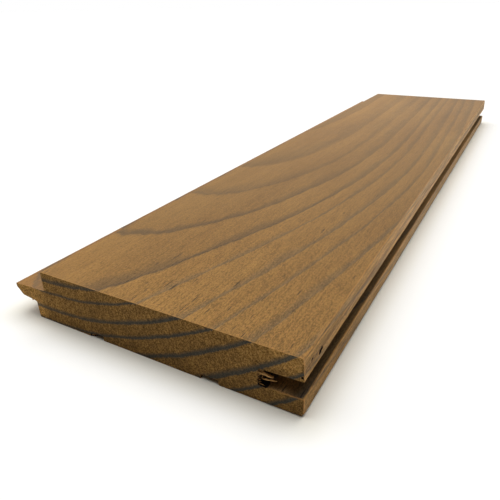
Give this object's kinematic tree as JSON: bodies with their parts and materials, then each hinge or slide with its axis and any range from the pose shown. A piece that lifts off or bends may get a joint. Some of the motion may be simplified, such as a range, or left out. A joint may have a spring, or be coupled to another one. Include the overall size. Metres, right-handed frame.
{
  "type": "tongue and groove board",
  "caption": "Modified-pine tongue and groove cladding board: bevelled tongue on one edge, matching groove on the other, shadow-gap step and relief channels along the back.",
  "frame": {"origin": "under the middle of the board, on the plane that its back lies on, half way along its length and its overall width", "axes": "+X from the tongue to the groove, +Y along the length and the grain, +Z out of the show face"},
  "size_m": [0.12, 0.43, 0.021],
  "materials": {
    "modified_pine": "planed, uncoated, matt"
  },
  "bodies": {
    "root": {"board": "modified_pine"}
  },
  "joints": []
}
